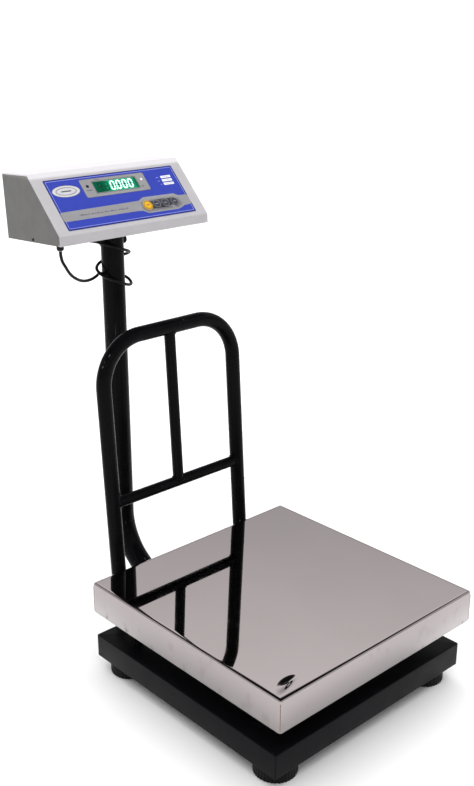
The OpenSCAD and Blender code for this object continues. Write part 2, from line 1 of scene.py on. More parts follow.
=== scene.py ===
import json
import math

import bmesh
import bpy
from mathutils import Matrix, Vector
from mathutils.geometry import delaunay_2d_cdt


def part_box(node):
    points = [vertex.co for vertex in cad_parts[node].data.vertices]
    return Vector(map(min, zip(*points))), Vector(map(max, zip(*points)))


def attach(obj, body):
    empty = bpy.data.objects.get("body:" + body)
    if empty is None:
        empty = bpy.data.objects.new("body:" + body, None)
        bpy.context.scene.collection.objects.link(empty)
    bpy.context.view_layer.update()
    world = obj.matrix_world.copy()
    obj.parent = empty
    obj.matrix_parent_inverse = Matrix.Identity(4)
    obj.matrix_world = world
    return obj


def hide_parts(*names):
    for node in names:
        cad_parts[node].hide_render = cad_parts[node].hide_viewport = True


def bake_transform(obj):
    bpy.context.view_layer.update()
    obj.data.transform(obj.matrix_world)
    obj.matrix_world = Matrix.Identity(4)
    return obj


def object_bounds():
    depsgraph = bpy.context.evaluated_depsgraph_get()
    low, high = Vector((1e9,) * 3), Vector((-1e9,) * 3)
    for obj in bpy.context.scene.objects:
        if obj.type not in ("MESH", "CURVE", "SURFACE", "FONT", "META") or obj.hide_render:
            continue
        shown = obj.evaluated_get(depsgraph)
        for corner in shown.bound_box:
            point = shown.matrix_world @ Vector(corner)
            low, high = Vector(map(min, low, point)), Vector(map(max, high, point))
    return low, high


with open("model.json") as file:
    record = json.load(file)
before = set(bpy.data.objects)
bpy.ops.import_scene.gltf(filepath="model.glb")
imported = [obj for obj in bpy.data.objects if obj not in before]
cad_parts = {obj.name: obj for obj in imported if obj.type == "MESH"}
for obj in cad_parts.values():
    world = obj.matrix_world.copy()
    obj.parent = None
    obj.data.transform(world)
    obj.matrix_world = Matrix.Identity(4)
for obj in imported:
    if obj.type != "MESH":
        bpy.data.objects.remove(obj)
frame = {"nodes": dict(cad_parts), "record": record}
cad_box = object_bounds()

MM = 0.001
X_AXIS = Vector((1, 0, 0))
Z_AXIS = Vector((0, 0, 1))
CREASE = math.radians(38)
PAN_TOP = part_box("pan")[1].z
CASE_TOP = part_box("head_front")[1].z


# ---------------------------------------------------------------- meshes


def build(name, shape, finish, body, crease=CREASE):
    """Makes a piece from (points, faces), gives it a finish, and lets it ride on a body."""
    points, faces = shape
    mesh = bpy.data.meshes.new(name)
    mesh.from_pydata([tuple(p) for p in points], [], faces)
    mesh.validate()
    mesh.materials.append(finish)
    mesh.polygons.foreach_set("use_smooth", [True] * len(mesh.polygons))
    mesh.set_sharp_from_angle(angle=crease)
    piece = bpy.data.objects.new(name, mesh)
    bpy.context.scene.collection.objects.link(piece)
    if body:
        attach(piece, body)
    return piece


def joined(shapes):
    """Several (points, faces) as one."""
    points, faces = [], []
    for some_points, some_faces in shapes:
        first = len(points)
        points += some_points
        faces += [tuple(first + i for i in face) for face in some_faces]
    return points, faces


def placed(shape, matrix):
    points, faces = shape
    return [matrix @ Vector(p) for p in points], faces


def loops_to_faces(count, size, closed):
    """Quads between loops of the same size that follow each other."""
    faces = []
    for i in range(count if closed else count - 1):
        j = (i + 1) % count
        for k in range(size):
            n = (k + 1) % size
            faces.append((i * size + k, i * size + n, j * size + n, j * size + k))
    return faces


def carried_frames(points, closed=False):
    """A side direction at each point of a line, carried along it without twisting."""
    count = len(points)
    frames = []
    side = None
    for i in range(count):
        before = points[i - 1] if closed or i else points[0]
        after = points[(i + 1) % count] if closed or i < count - 1 else points[-1]
        along = (after - before).normalized()
        if side is None:
            side = along.orthogonal()
        side = (side - side.dot(along) * along).normalized()
        frames.append((side, along.cross(side)))
    return frames


def tube(points, radius, sides, closed=False, radii=None):
    """A round tube along a line of points."""
    made = []
    for i, (u, v) in enumerate(carried_frames(points, closed)):
        r = radii[i] if radii else radius
        for k in range(sides):
            a = 2 * math.pi * k / sides
            made.append(points[i] + r * (math.cos(a) * u + math.sin(a) * v))
    faces = loops_to_faces(len(points), sides, closed)
    if not closed:
        faces.append(tuple(reversed(range(sides))))
        faces.append(tuple(range(len(made) - sides, len(made))))
    return made, faces


def lathe(profile, steps, lobes=0, depth=0.0):
    """Turns a profile of (radius, height) about z. Lobes are flutes of that depth round the outside."""
    points = []
    for r, z in profile:
        for k in range(steps):
            a = 2 * math.pi * k / steps
            flute = depth * (0.5 + 0.5 * math.cos(lobes * a)) if lobes else 0.0
            points.append(Vector(((r - flute) * math.cos(a), (r - flute) * math.sin(a), z)))
    faces = loops_to_faces(len(profile), steps, False)
    faces.append(tuple(reversed(range(steps))))
    faces.append(tuple(range(len(points) - steps, len(points))))
    return points, faces


def rounded(corners, radius, steps=5):
    """An outline with its corners rounded; corners go round anticlockwise."""
    outline = []
    count = len(corners)
    for i in range(count):
        here = Vector(corners[i])
        to_last = (Vector(corners[i - 1]) - here).normalized()
        to_next = (Vector(corners[(i + 1) % count]) - here).normalized()
        half = to_last.angle(to_next) / 2
        cut = min(radius / math.tan(half), 0.49 * (Vector(corners[(i + 1) % count]) - here).length)
        for k in range(steps + 1):
            t = k / steps
            start, end = here + cut * to_last, here + cut * to_next
            outline.append((1 - t) ** 2 * start + 2 * t * (1 - t) * here + t ** 2 * end)
    return outline


def box_outline(x0, y0, x1, y1, radius):
    return rounded([(x0, y0), (x1, y0), (x1, y1), (x0, y1)], radius)


def oval(x, y, rx, ry, steps=40):
    return [Vector((x + rx * math.cos(2 * math.pi * k / steps), y + ry * math.sin(2 * math.pi * k / steps)))
            for k in range(steps)]


def plate(outline, low, high):
    """A flat plate with that outline between two heights."""
    count = len(outline)
    points = [Vector((p[0], p[1], z)) for z in (low, high) for p in outline]
    faces = loops_to_faces(2, count, False)
    faces.append(tuple(reversed(range(count))))
    faces.append(tuple(range(count, 2 * count)))
    return points, faces


def holed_plate(outline, holes, low, high):
    """A flat plate between two heights with round holes, each (x, y, radius)."""
    rings = [list(outline)] + [oval(x, y, r, r) for x, y, r in holes]
    flat = [Vector((p[0], p[1])) for ring in rings for p in ring]
    edges = []
    for ring in rings:
        first = len(edges)
        edges += [(first + k, first + (k + 1) % len(ring)) for k in range(len(ring))]
    verts, _, faces, _, _, _ = delaunay_2d_cdt(flat, edges, [], 1, 1e-9)
    solid = []
    for face in faces:
        middle = sum((verts[i] for i in face), Vector((0, 0))) / len(face)
        if all(math.hypot(middle.x - x, middle.y - y) > r * 0.98 for x, y, r in holes):
            solid.append(tuple(face))
    count = len(verts)
    points = [Vector((v.x, v.y, z)) for z in (low, high) for v in verts]
    walls = [(a, b, count + b, count + a) for a, b in edges]
    top = [tuple(count + i for i in face) for face in solid]
    return points, [tuple(reversed(face)) for face in solid] + top + walls


def ring_plate(outer, inner, low, high):
    """A flat ring between two outlines with the same number of points."""
    count = len(outer)
    loops = [(outer, low), (outer, high), (inner, high), (inner, low)]
    points = [Vector((p[0], p[1], z)) for line, z in loops for p in line]
    return points, loops_to_faces(4, count, True)


# ---------------------------------------------------------------- finishes


def srgb(red, green, blue):
    """Display values from 0 to 255 as a linear colour."""
    def linear(c):
        c /= 255
        return c / 12.92 if c <= 0.04045 else ((c + 0.055) / 1.055) ** 2.4
    return (linear(red), linear(green), linear(blue), 1.0)


def scaled(color, factor):
    return (color[0] * factor, color[1] * factor, color[2] * factor, 1.0)


class Finish:
    """A procedural material. Its sizes are in millimetres on the piece itself."""

    def __init__(self, name, color, rough, metallic=0.0, specular=0.5):
        self.material = bpy.data.materials.new(name)
        self.material.use_nodes = True
        self.tree = self.material.node_tree
        self.shader = self.tree.nodes["Principled BSDF"]
        self.place = self.add("ShaderNodeTexCoord").outputs["Object"]
        self.color = color
        self.shader.inputs["Base Color"].default_value = color
        self.shader.inputs["Roughness"].default_value = rough
        self.shader.inputs["Metallic"].default_value = metallic
        self.shader.inputs["Specular IOR Level"].default_value = specular

    def add(self, kind):
        return self.tree.nodes.new(kind)

    def link(self, out, into):
        self.tree.links.new(out, into)

    def noise(self, size, detail=3.0, stretch=(1, 1, 1)):
        """Smooth noise from 0 to 1 with spots of about that size in millimetres."""
        mapping = self.add("ShaderNodeMapping")
        mapping.inputs["Scale"].default_value = [s * 1000 / size for s in stretch]
        self.link(self.place, mapping.inputs["Vector"])
        node = self.add("ShaderNodeTexNoise")
        node.inputs["Scale"].default_value = 1.0
        node.inputs["Detail"].default_value = detail
        self.link(mapping.outputs["Vector"], node.inputs["Vector"])
        return node.outputs["Fac"]

    def remap(self, value, low, high, to_low, to_high):
        node = self.add("ShaderNodeMapRange")
        self.link(value, node.inputs["Value"])
        for key, number in zip(("From Min", "From Max", "To Min", "To Max"), (low, high, to_low, to_high)):
            node.inputs[key].default_value = number
        return node.outputs["Result"]

    def both(self, a, b, how="MULTIPLY"):
        node = self.add("ShaderNodeMath")
        node.operation = how
        self.link(a, node.inputs[0])
        self.link(b, node.inputs[1])
        return node.outputs["Value"]

    def mix(self, factor, a, b):
        """A colour between a and b, each a colour or another node's output."""
        node = self.add("ShaderNodeMix")
        node.data_type = "RGBA"
        self.link(factor, node.inputs["Factor"])
        for value, socket in ((a, node.inputs[6]), (b, node.inputs[7])):
            if isinstance(value, tuple):
                socket.default_value = value
            else:
                self.link(value, socket)
        return node.outputs[2]

    def paint(self, out):
        self.link(out, self.shader.inputs["Base Color"])
        return self

    def coordinate(self, axis):
        """Place along X, Y or Z in the resting part, in metres."""
        split = self.add("ShaderNodeSeparateXYZ")
        self.link(self.place, split.inputs["Vector"])
        return split.outputs[axis]

    def height(self):
        return self.coordinate("Z")

    def mottle(self, size, spread):
        """Slow variation of the colour."""
        tone = self.remap(self.noise(size), 0.3, 0.7, 0.0, 1.0)
        return self.mix(tone, scaled(self.color, 1 - spread), scaled(self.color, 1 + spread))

    def gloss(self, size, low, high):
        """Roughness that varies between two values."""
        self.link(self.remap(self.noise(size, 4), 0.35, 0.65, low, high), self.shader.inputs["Roughness"])
        return self

    def bump(self, layers):
        """Relief from (height output, depth in millimetres) pairs, one over the other."""
        last = None
        for height, depth in layers:
            node = self.add("ShaderNodeBump")
            node.inputs["Strength"].default_value = 1.0
            node.inputs["Distance"].default_value = depth * MM
            self.link(height, node.inputs["Height"])
            if last:
                self.link(last, node.inputs["Normal"])
            last = node.outputs["Normal"]
        self.link(last, self.shader.inputs["Normal"])
        return self


def powder_coat(name, color, rough, specular, dust):
    """Powder coat: fine orange peel, slow tone changes and a few specks of dust."""
    f = Finish(name, color, rough, specular=specular)
    specks = f.remap(f.noise(1.6, 2), 0.70, 0.76, 0.0, dust)
    f.paint(f.mix(specks, f.mottle(45, 0.12), srgb(120, 120, 122)))
    f.gloss(30, rough - 0.05, rough + 0.07)
    return f.bump([(f.noise(1.3, 2), 0.035), (f.noise(0.5, 2), 0.008)]).material


def tube_coat():
    """Semi-gloss black on round tube, with fine scratches along it and scuffed patches."""
    color = srgb(8, 8, 10)
    f = Finish("tube_black", color, 0.26, specular=0.045)
    lines = f.remap(f.noise(5, 3, stretch=(1, 1, 0.06)), 0.66, 0.70, 0.0, 1.0)
    patches = f.remap(f.noise(38, 2), 0.60, 0.68, 0.0, 0.4)
    # short scuffs low on the legs, where the pan is lifted past them
    scuffs = f.remap(f.noise(5, 4, stretch=(1, 1, 0.3)), 0.66, 0.74, 0.0, 0.5)
    low_down = f.remap(f.height(), 0.16, 0.23, 1.0, 0.0)
    wear = f.both(f.both(lines, patches), f.both(scuffs, low_down), "ADD")
    f.paint(f.mix(wear, f.mottle(60, 0.15), srgb(120, 120, 126)))
    f.gloss(25, 0.20, 0.34)
    return f.bump([(f.noise(1.5, 2), 0.02), (f.noise(60, 1), 0.1)]).material


def moulded(name, color, rough, grain=0.8, specular=0.4):
    """Moulded plastic with a fine spark-eroded grain."""
    f = Finish(name, color, rough, specular=specular)
    f.paint(f.mottle(14, 0.15))
    f.gloss(8, rough - 0.06, rough + 0.08)
    return f.bump([(f.noise(grain, 3), 0.02)]).material


def rubber(name, color, rough):
    """Rubber or soft PVC: dull, a little dusty."""
    f = Finish(name, color, rough, specular=0.12)
    dust = f.remap(f.noise(9, 4), 0.55, 0.8, 0.0, 0.03)
    f.paint(f.mix(dust, f.mottle(20, 0.15), srgb(120, 118, 114)))
    f.gloss(12, rough - 0.08, rough + 0.08)
    return f.bump([(f.noise(0.7, 2), 0.012)]).material


def plated(name, color, rough):
    """Zinc plating: cloudy grey metal with a faint crystal pattern."""
    f = Finish(name, color, rough, metallic=0.9)
    f.paint(f.mix(f.noise(6, 4), scaled(color, 0.75), scaled(color, 1.1)))
    f.gloss(3, rough - 0.08, rough + 0.12)
    return f.bump([(f.noise(1.2, 3), 0.01)]).material


def machined(name, color):
    """Milled aluminium: fine parallel tool marks."""
    f = Finish(name, color, 0.35, metallic=1.0)
    marks = f.noise(2.0, 3, stretch=(1, 0.05, 4))
    f.paint(f.mix(marks, scaled(color, 0.85), scaled(color, 1.05)))
    f.gloss(4, 0.28, 0.42)
    return f.bump([(marks, 0.01)]).material


def mirror_steel():
    """Mirror-polished stainless sheet: faint wipe marks, long shallow waves, and darker smudges on the skirt
    that also serve as painted shade there.
    """
    color = (0.372, 0.334, 0.336, 1.0)
    f = Finish("pan_steel", color, 0.04, metallic=1.0)
    on_skirt = f.remap(f.height(), PAN_TOP - 6 * MM, PAN_TOP - 2 * MM, 1.0, 0.0)
    streaks = f.remap(f.noise(22, 5, stretch=(1, 1, 0.7)), 0.57, 0.68, 0.0, 0.32)
    # darker streaks on the skirt only: partly smudges, partly painted shade that darkens the skirt
    smudge_and_skirt_shade = f.both(streaks, on_skirt)
    cloud = f.remap(f.noise(140, 2), 0.35, 0.65, 0.0, 0.16)
    soft = f.mix(cloud, scaled(color, 1.03), scaled(color, 0.80))
    f.paint(f.mix(smudge_and_skirt_shade, soft, (0.25, 0.21, 0.20, 1.0)))
    wipes = f.remap(f.noise(22, 4, stretch=(1, 0.3, 1)), 0.45, 0.75, 0.02, 0.055)
    haze = f.both(wipes, f.remap(smudge_and_skirt_shade, 0.0, 0.4, 0.0, 0.10), "ADD")
    f.link(haze, f.shader.inputs["Roughness"])
    return f.bump([(f.noise(120, 1), 0.06), (f.noise(1.4, 2), 0.0006)]).material


def heat_tint():
    """Ground-down weld in stainless sheet, with a straw and brown heat tint."""
    f = Finish("seam_tint", (0.16, 0.11, 0.09, 1.0), 0.3, metallic=0.9)
    f.paint(f.mix(f.noise(5, 4), (0.10, 0.06, 0.05, 1.0), (0.34, 0.27, 0.22, 1.0)))
    f.gloss(2, 0.2, 0.4)
    return f.bump([(f.noise(1.1, 2), 0.03)]).material


def sprayed(name, color, rough):
    """Fine-textured case paint, with a painted highlight on its level top."""
    f = Finish(name, color, rough, specular=0.4)
    # the level top of the case is painted 1.5 times lighter: a painted highlight for the light from overhead
    painted_top_light = f.remap(f.height(), CASE_TOP - 8 * MM, CASE_TOP - 5 * MM, 0.0, 1.0)
    f.paint(f.mix(painted_top_light, f.mottle(35, 0.035), scaled(color, 1.5)))
    f.gloss(20, rough - 0.05, rough + 0.06)
    return f.bump([(f.noise(0.9, 3), 0.022)]).material


def printed(name, color, rough=0.42, spread=0.04):
    """Ink under a satin membrane film."""
    f = Finish(name, color, rough, specular=0.2)
    f.paint(f.mottle(18, spread))
    f.gloss(16, rough - 0.05, rough + 0.05)
    return f.bump([(f.noise(0.35, 2), 0.004)]).material


def circuit_board():
    """Green solder mask with a faint pattern of tracks."""
    color = srgb(22, 92, 48)
    f = Finish("board_green", color, 0.35)
    tracks = f.add("ShaderNodeTexBrick")
    tracks.inputs["Scale"].default_value = 140.0
    tracks.inputs["Mortar Size"].default_value = 0.03
    f.link(f.place, tracks.inputs["Vector"])
    f.paint(f.mix(tracks.outputs["Fac"], f.mottle(12, 0.2), srgb(60, 140, 80)))
    return f.bump([(tracks.outputs["Fac"], 0.03)]).material


def window_finish(left, right):
    """Green display window: brighter behind the lit digits, which stand between left and right in metres."""
    color = srgb(4, 70, 50)
    f = Finish("display_window", color, 0.22, specular=0.35)
    across = f.coordinate("X")
    rise = f.remap(across, left - 12 * MM, left + 2 * MM, 0.0, 1.0)
    fall = f.remap(across, right - 1 * MM, right + 9 * MM, 1.0, 0.0)
    glow = f.both(rise, fall)
    grain = f.remap(f.noise(1.2, 2), 0.3, 0.7, 0.85, 1.15)
    f.paint(f.mix(f.both(glow, grain), color, srgb(14, 132, 96)))
    f.shader.inputs["Emission Color"].default_value = srgb(0, 150, 100)
    f.link(f.remap(glow, 0.0, 1.0, 0.12, 0.55), f.shader.inputs["Emission Strength"])
    return f.bump([(f.noise(0.6, 2), 0.002)]).material


def lit_segment():
    """Lit digit segments: near white with a green edge."""
    color = srgb(215, 255, 238)
    f = Finish("digit_lit", color, 0.4)
    f.paint(f.mottle(2, 0.05))
    f.shader.inputs["Emission Color"].default_value = srgb(205, 255, 235)
    f.link(f.remap(f.noise(1.5, 2), 0.3, 0.7, 0.85, 1.1), f.shader.inputs["Emission Strength"])
    return f.material


POWDER = powder_coat("powder_black", srgb(13, 13, 16), 0.36, 0.07, 0.16)
TUBE = tube_coat()
ZINC = plated("zinc_steel", (0.55, 0.55, 0.53, 1.0), 0.34)
SCREW = moulded("black_screw", srgb(12, 12, 13), 0.35, 0.8, 0.12)
ALUMINIUM = machined("cell_aluminium", (0.75, 0.75, 0.76, 1.0))
FOOT = moulded("foot_plastic", srgb(14, 14, 15), 0.45, 1.0, 0.15)
RUBBER = rubber("rubber_black", srgb(26, 26, 26), 0.65)
JACKET = rubber("cable_jacket", srgb(13, 13, 14), 0.4)
PAN = mirror_steel()
CASE_LIGHT = sprayed("case_light", (0.445, 0.434, 0.452, 1.0), 0.45)
CASE_GREY = sprayed("case_grey", srgb(93, 93, 91), 0.5)
FILM = printed("overlay_film", srgb(47, 62, 165))
FILM_DARK = printed("film_dark", srgb(26, 30, 96))
FILM_LINE = printed("film_line", srgb(150, 158, 215))
FILM_GREY = printed("film_grey", srgb(140, 140, 143))
FILM_SHADE = printed("film_shade", srgb(84, 84, 92))
FILM_INK = printed("film_ink", srgb(104, 100, 118))
FILM_SILVER = printed("film_silver", srgb(196, 196, 200), 0.3, 0.06)
FILM_WHITE = printed("film_white", srgb(232, 232, 236))
FILM_BLACK = printed("film_black", srgb(22, 20, 26))
DISPLAY = moulded("display_body", srgb(12, 80, 56), 0.3)
BOARD = circuit_board()
BATTERY = moulded("battery_case", srgb(40, 40, 44), 0.45)
FITTING = moulded("fitting_black", srgb(14, 14, 15), 0.3, 0.8, 0.15)
SEAM = heat_tint()
KEY_YELLOW = printed("key_yellow", srgb(222, 170, 16), 0.4)
KEY_GREY = printed("key_grey", srgb(58, 60, 72), 0.4)

SLOT_FINISH = {
    "powder_black": POWDER, "tube_black": TUBE, "zinc_steel": ZINC, "black_screw": SCREW,
    "cell_aluminium": ALUMINIUM, "foot_plastic": FOOT, "rubber_black": RUBBER, "cable_jacket": JACKET,
    "pan_steel": PAN, "case_light": CASE_LIGHT, "case_grey": CASE_GREY, "overlay_film": FILM,
    "display_body": DISPLAY, "board_green": BOARD, "battery_case": BATTERY, "fitting_black": FITTING,
    "key_yellow": KEY_YELLOW, "key_grey": KEY_GREY,
}


# ---------------------------------------------------------------- stage


CAMERA_AT = (-0.9942, -1.1103, 0.9578)
CAMERA_YAW, CAMERA_PITCH, CAMERA_ROLL = -42.02, 20.95, -0.26
CAMERA_LENS = 48.64
CAMERA_SHIFT_X, CAMERA_SHIFT_Y = 0.0191, 0.0298


def frame_matrix(origin, x, y, z):
    """The placement whose own axes are x, y and z."""
    return Matrix.Translation(origin) @ Matrix((x, y, z)).transposed().to_4x4()


def add_camera():
    """The camera at the photograph's angle."""
    yaw, pitch, roll = map(math.radians, (CAMERA_YAW, CAMERA_PITCH, CAMERA_ROLL))
    back = Vector((math.sin(yaw) * math.cos(pitch), -math.cos(yaw) * math.cos(pitch), math.sin(pitch)))
    level = (-back).cross(Z_AXIS).normalized()
    upright = back.cross(level)
    right = level * math.cos(roll) + upright * math.sin(roll)
    up = upright * math.cos(roll) - level * math.sin(roll)
    data = bpy.data.cameras.new("camera")
    data.sensor_fit = "AUTO"
    data.sensor_width = 36.0
    data.lens = CAMERA_LENS
    data.shift_x = CAMERA_SHIFT_X
    data.shift_y = CAMERA_SHIFT_Y
    data.clip_start = 0.05
    data.clip_end = 500.0
    camera = bpy.data.objects.new("camera", data)
    camera.matrix_world = frame_matrix(CAMERA_AT, right, up, back)
    bpy.context.scene.collection.objects.link(camera)
    bpy.context.scene.camera = camera


def add_floor():
    """A plain pale floor."""
    half = 60.0
    mesh = bpy.data.meshes.new("floor")
    corners = [(-half, -half, 0), (half, -half, 0), (half, half, 0), (-half, half, 0)]
    mesh.from_pydata(corners, [], [(0, 1, 2, 3)])
    floor = bpy.data.objects.new("floor", mesh)
    floor.location.z = cad_box[0].z - 0.0002
    bpy.context.scene.collection.objects.link(floor)
    f = Finish("floor_pale", (0.90, 0.90, 0.90, 1.0), 0.7, specular=0.1)
    f.paint(f.mottle(900, 0.01))
    mesh.materials.append(f.material)


def add_light():
    """A surround that is bright low down and again on the way up, dark overhead, and one soft lamp."""
    world = bpy.data.worlds.new("studio")
    world.use_nodes = True
    bpy.context.scene.world = world
    tree = world.node_tree
    background = tree.nodes["Background"]
    place = tree.nodes.new("ShaderNodeTexCoord")
    split = tree.nodes.new("ShaderNodeSeparateXYZ")
    ramp = tree.nodes.new("ShaderNodeValToRGB")
    tree.links.new(place.outputs["Generated"], split.inputs["Vector"])
    tree.links.new(split.outputs["Z"], ramp.inputs["Fac"])
    tree.links.new(ramp.outputs["Color"], background.inputs["Color"])
    # brightness by the sine of the height above the horizon
    steps = [(0.0, 1.0), (0.03, 1.0), (0.10, 0.56), (0.30, 0.42), (0.43, 0.60), (0.57, 1.02), (0.60, 1.08),
             (0.64, 0.06), (0.70, 0.01), (1.0, 0.01)]
    while len(ramp.color_ramp.elements) < len(steps):
        ramp.color_ramp.elements.new(0.5)
    for element, (position, value) in zip(ramp.color_ramp.elements, steps):
        element.position = position
        element.color = (value, value * 0.985, value * 0.985, 1.0)
    background.inputs["Strength"].default_value = 1.25

    lamp = bpy.data.lights.new("overhead", "SUN")
    lamp.energy = 3.9
    lamp.angle = math.radians(90)
    overhead = bpy.data.objects.new("overhead", lamp)
    overhead.rotation_euler = (math.radians(-6), math.radians(3), 0)
    overhead.visible_glossy = False
    bpy.context.scene.collection.objects.link(overhead)
    bpy.context.scene.view_settings.view_transform = "Standard"


add_camera()

# ---------------------------------------------------------------- signal cable

# the route of the CAD source, in metres, with a wider turn into the bush
CABLE_RADIUS = 0.0024
CABLE_ROUTE = [
    (-0.136, 0.195, 0.6271), (-0.136, 0.1947, 0.621), (-0.1332, 0.196, 0.612), (-0.126, 0.1995, 0.602),
    (-0.112, 0.2075, 0.5865), (-0.095, 0.2155, 0.575), (-0.077, 0.2245, 0.568), (-0.056, 0.2365, 0.5645),
    (-0.034, 0.2515, 0.564), (-0.0222, 0.2639, 0.5625), (-0.0083, 0.2739, 0.5605), (0.0083, 0.2739, 0.5585),
    (0.0208, 0.265, 0.5565), (0.0295, 0.2545, 0.5505), (0.0286, 0.2435, 0.544), (0.0155, 0.2341, 0.545),
    (-0.002, 0.23, 0.5515), (-0.0177, 0.2358, 0.5585), (-0.0264, 0.2481, 0.5655), (-0.0263, 0.2609, 0.573),
    (-0.0135, 0.2713, 0.5785), (0.004, 0.2747, 0.5825), (0.0197, 0.2661, 0.586), (0.0284, 0.254, 0.5905),
    (0.0242, 0.2403, 0.5965), (0.0088, 0.2309, 0.603), (-0.0095, 0.2311, 0.6095), (-0.0233, 0.2403, 0.6148),
    (-0.0275, 0.2525, 0.6168), (-0.0274, 0.2655, 0.6162), (-0.0270, 0.2775, 0.6152), (-0.0228, 0.2866, 0.614),
    (-0.0135, 0.2903, 0.6125), (-0.0042, 0.2866, 0.611), (0, 0.2785, 0.61), (0, 0.2728, 0.61),
]


def smooth_line(route, steps):
    """A smooth curve through the route's points."""
    points = [Vector(p) for p in route]
    last = len(points) - 1
    line = []
    for i in range(last):
        a, b, c, d = points[max(i - 1, 0)], points[i], points[i + 1], points[min(i + 2, last)]
        for k in range(steps):
            t = k / steps
            line.append(0.5 * (2 * b + (c - a) * t + (2 * a - 5 * b + 4 * c - d) * t ** 2
                               + (3 * b - a - 3 * c + d) * t ** 3))
    return line + [points[last]]


def add_cable():
    """The cable from the indicator's gland, twice round the column and into the bush at its rear."""
    line = smooth_line(CABLE_ROUTE, 6)
    shape = tube(line, CABLE_RADIUS, 14)
    cable = build("cable_run", shape, JACKET, None)
    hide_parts("signal_cable")
    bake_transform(cable)


add_cable()
add_floor()
add_light()


# ---------------------------------------------------------------- pan and base


def square_loop(centre, half, radius, z, arc=6):
    """A square loop with rounded corners, anticlockwise."""
    points = []
    for quarter in range(4):
        a0 = math.radians(90 * quarter)
        sx = 1 if quarter in (0, 3) else -1
        sy = 1 if quarter in (0, 1) else -1
        for k in range(arc + 1):
            a = a0 + math.radians(90) * k / arc
            points.append(Vector((centre.x + sx * (half - radius) + radius * math.cos(a),
                                  centre.y + sy * (half - radius) + radius * math.sin(a), z)))
    return points


def dent_depth(x, y):
    """Depth of the small leaf-shaped dent near the pan's front left corner."""
    long, wide, depth = 28 * MM, 9.5 * MM, 1.6 * MM
    turn = math.radians(17)
    u = (x * math.cos(turn) + y * math.sin(turn)) / long
    v = (y * math.cos(turn) - x * math.sin(turn)) / wide
    v += 0.35 * u * u
    far = math.sqrt(u * u + v * v)
    return depth * (0.5 + 0.5 * math.cos(math.pi * far)) if far < 1 else 0.0


def add_pan():
    """The pan as bent sheet: rounded folds, welded corners, and a small dent in its top."""
    low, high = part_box("pan")
    centre = (low + high) / 2
    half = (high.x - low.x) / 2
    sheet, fold, corner = 1.2 * MM, 3.8 * MM, 4.5 * MM
    arc_steps = 6
    profile = [(sheet, low.z), (0.25 * MM, low.z), (0.0, low.z + 0.25 * MM), (0.0, high.z - fold)]
    for k in range(1, arc_steps + 1):
        a = math.radians(90) * k / arc_steps
        profile.append((fold * (1 - math.cos(a)), high.z - fold * (1 - math.sin(a))))
    inside = [(fold, high.z - sheet), (sheet + 0.4 * MM, high.z - sheet - 0.4 * MM), (sheet, high.z - fold)]
    loops = [square_loop(centre, half - inset, max(corner - inset, 0.8 * MM), z) for inset, z in inside]
    outer = [square_loop(centre, half - inset, max(corner - inset, 0.8 * MM), z) for inset, z in profile]
    size = len(outer[0])
    skirt_points = [p for loop in loops + outer for p in loop]
    skirt_faces = loops_to_faces(len(loops) + len(outer), size, False)

    # the flat top, finer round the dent
    spot = Vector((low.x + 30 * MM, low.y + 22.5 * MM))
    spot_reach_x, spot_reach_y = 29 * MM, 18 * MM
    rim = outer[-1]
    inner = half - fold - 3 * MM
    grid = []
    steps = 22
    for i in range(steps + 1):
        for j in range(steps + 1):
            p = Vector((centre.x - inner + 2 * inner * i / steps, centre.y - inner + 2 * inner * j / steps))
            if abs(p.x - spot.x) > spot_reach_x or abs(p.y - spot.y) > spot_reach_y:
                grid.append(p)
    fine = 1.1 * MM
    for i in range(-25, 26):
        for j in range(-14, 15):
            p = Vector((spot.x + fine * i, spot.y + fine * j))
            if p.x > low.x + fold + MM and p.y > low.y + fold + MM:
                grid.append(p)
    flat = [Vector((p.x, p.y)) for p in rim] + grid
    edges = [(i, (i + 1) % size) for i in range(size)]
    verts, _, faces, _, _, _ = delaunay_2d_cdt(flat, edges, [], 1, 1e-7)
    top_points = [Vector((p.x, p.y, high.z - dent_depth(p.x - spot.x, p.y - spot.y))) for p in verts]
    under_points = [p - Vector((0, 0, sheet)) for p in top_points]
    under_faces = [tuple(reversed(f)) for f in faces]
    shape = joined([(skirt_points, skirt_faces), (top_points, [tuple(f) for f in faces]),
                    (under_points, under_faces)])
    pan = build("pan_sheet", shape, PAN, "pan_lift_off", crease=math.radians(60))
    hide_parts("pan")
    merge(pan)

    # the welded and ground seam down each upright corner
    seams = []
    for sx in (-1, 1):
        for sy in (-1, 1):
            reach = half - corner * (1 - math.cos(math.radians(45)))
            path = [Vector((centre.x + sx * reach, centre.y + sy * reach, low.z + 1.5 * MM + 4.2 * MM * k))
                    for k in range(11)]
            seams.append(tube(path, 0.75 * MM, 8))
    build("pan_seams", joined(seams), SEAM, "pan_lift_off")


def merge(piece):
    """Joins points that lie on each other, so that shading runs on across them."""

    work = bmesh.new()
    work.from_mesh(piece.data)
    bmesh.ops.remove_doubles(work, verts=work.verts, dist=1e-6)
    bmesh.ops.recalc_face_normals(work, faces=work.faces)
    work.to_mesh(piece.data)
    work.free()


